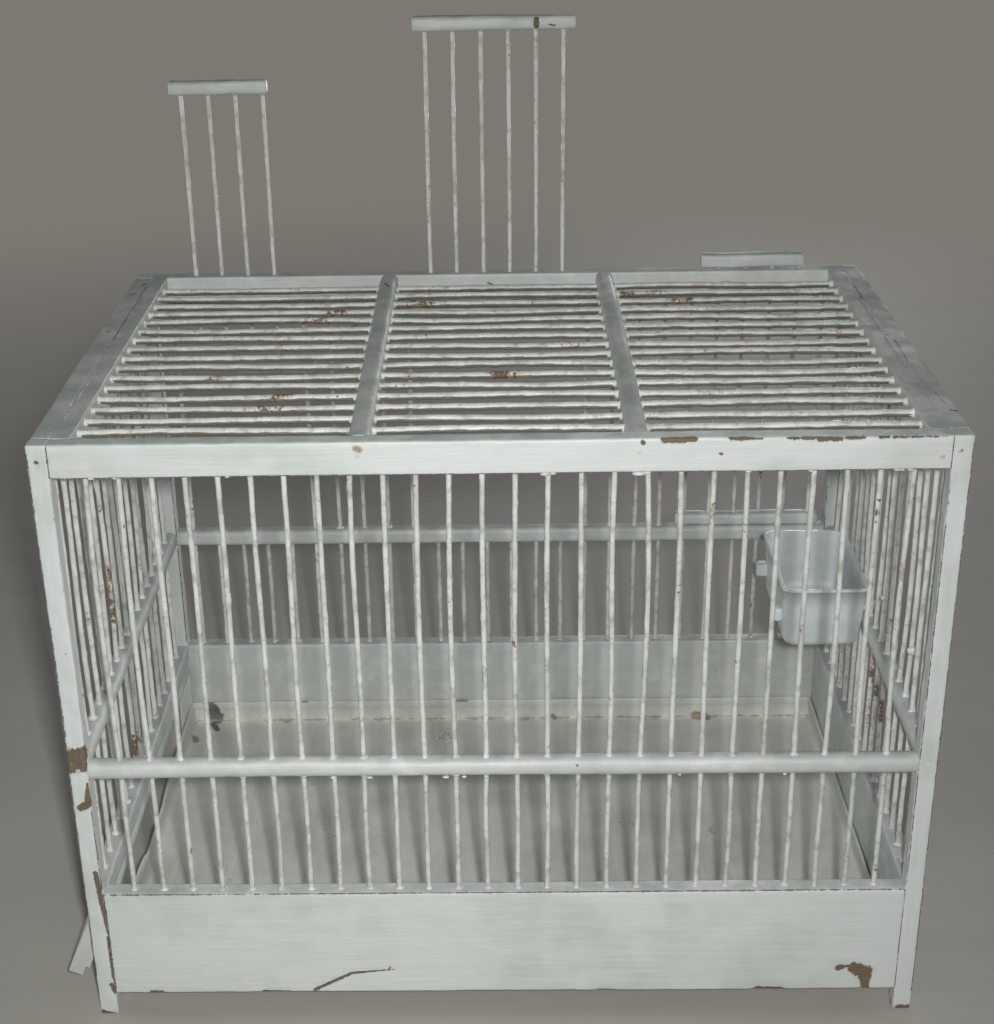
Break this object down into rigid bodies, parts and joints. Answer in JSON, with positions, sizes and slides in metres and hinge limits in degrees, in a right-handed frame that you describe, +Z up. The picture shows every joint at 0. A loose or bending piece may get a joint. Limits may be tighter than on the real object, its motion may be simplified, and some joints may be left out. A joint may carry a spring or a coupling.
{
  "type": "canary breeding cage",
  "caption": "Small wooden wire-fronted bird cage with lift-up doors in the rear wall, a slide-out tray behind a hanging end flap and a hooked-on feeder.",
  "frame": {"origin": "on the table plane, midway between the four feet", "axes": "+Z up, +X towards the feeder end, +Y towards the wall with the doors"},
  "size_m": [0.4443, 0.27, 0.4686],
  "materials": {
    "painted_wood": "aged white gloss paint on softwood",
    "bare_wood": "bare softwood",
    "painted_wire": "brushed-on white paint over steel wire",
    "tray_metal": "white paint over galvanised sheet",
    "nail_steel": "dull steel",
    "feeder_plastic": "translucent white polypropylene"
  },
  "bodies": {
    "frame": {"front_left_post": "painted_wood", "front_right_post": "painted_wood", "rear_left_post": "painted_wood", "rear_right_post": "painted_wood", "front_top_rail": "painted_wood", "rear_top_rail": "painted_wood", "left_top_rail": "painted_wood", "right_top_rail": "painted_wood", "left_roof_rail": "painted_wood", "right_roof_rail": "painted_wood", "left_roof_bar": "painted_wood", "right_roof_bar": "painted_wood", "roof_wires": "painted_wire", "front_mid_rail": "painted_wood", "rear_mid_rail": "painted_wood", "left_mid_rail": "painted_wood", "right_mid_rail": "painted_wood", "front_base_board": "painted_wood", "rear_base_board": "painted_wood", "right_base_board": "painted_wood", "left_base_rail": "painted_wood", "front_wires": "painted_wire", "left_wires": "painted_wire", "right_wires": "painted_wire", "rear_long_wires": "painted_wire", "rear_short_wires": "painted_wire", "front_tray_runner": "bare_wood", "rear_tray_runner": "bare_wood", "frame_nails": "nail_steel", "flap_pins": "nail_steel"},
    "left_door": {"left_door_top_bar": "painted_wood", "left_door_wires": "painted_wire", "left_door_bottom_bar": "painted_wood"},
    "middle_door": {"middle_door_top_bar": "painted_wood", "middle_door_wires": "painted_wire", "middle_door_bottom_bar": "painted_wood"},
    "right_door": {"right_door_top_bar": "painted_wood", "right_door_wires": "painted_wire", "right_door_bottom_bar": "painted_wood"},
    "tray": {"tray": "tray_metal"},
    "flap": {"tray_flap": "painted_wood"},
    "feeder": {"feeder": "feeder_plastic"}
  },
  "joints": [
    {"name": "left_door_slide", "type": "slide", "parent": "frame", "child": "left_door", "axis": [0, 0, 1], "range_m": [-0.1039, 0.036]},
    {"name": "middle_door_slide", "type": "slide", "parent": "frame", "child": "middle_door", "axis": [0, 0, 1], "range_m": [-0.1369, 0.003]},
    {"name": "right_door_slide", "type": "slide", "parent": "frame", "child": "right_door", "axis": [0, 0, 1], "range_m": [0, 0.1399]},
    {"name": "tray_slide", "type": "slide", "parent": "frame", "child": "tray", "axis": [-1, 0, 0], "range_m": [0, 0.06]},
    {"name": "flap_hinge", "type": "hinge", "parent": "frame", "child": "flap", "pos_m": [-0.20725, 0, 0.05875], "axis": [0, 1, 0], "range_deg": [0, 66.4]},
    {"name": "feeder_lift", "type": "slide", "parent": "frame", "child": "feeder", "axis": [0, 0, 1], "range_m": [0, 0.01]}
  ],
  "couplings": [
    {"joint": "flap_hinge", "follows": "tray_slide", "rad_per_m": 19.2}
  ]
}
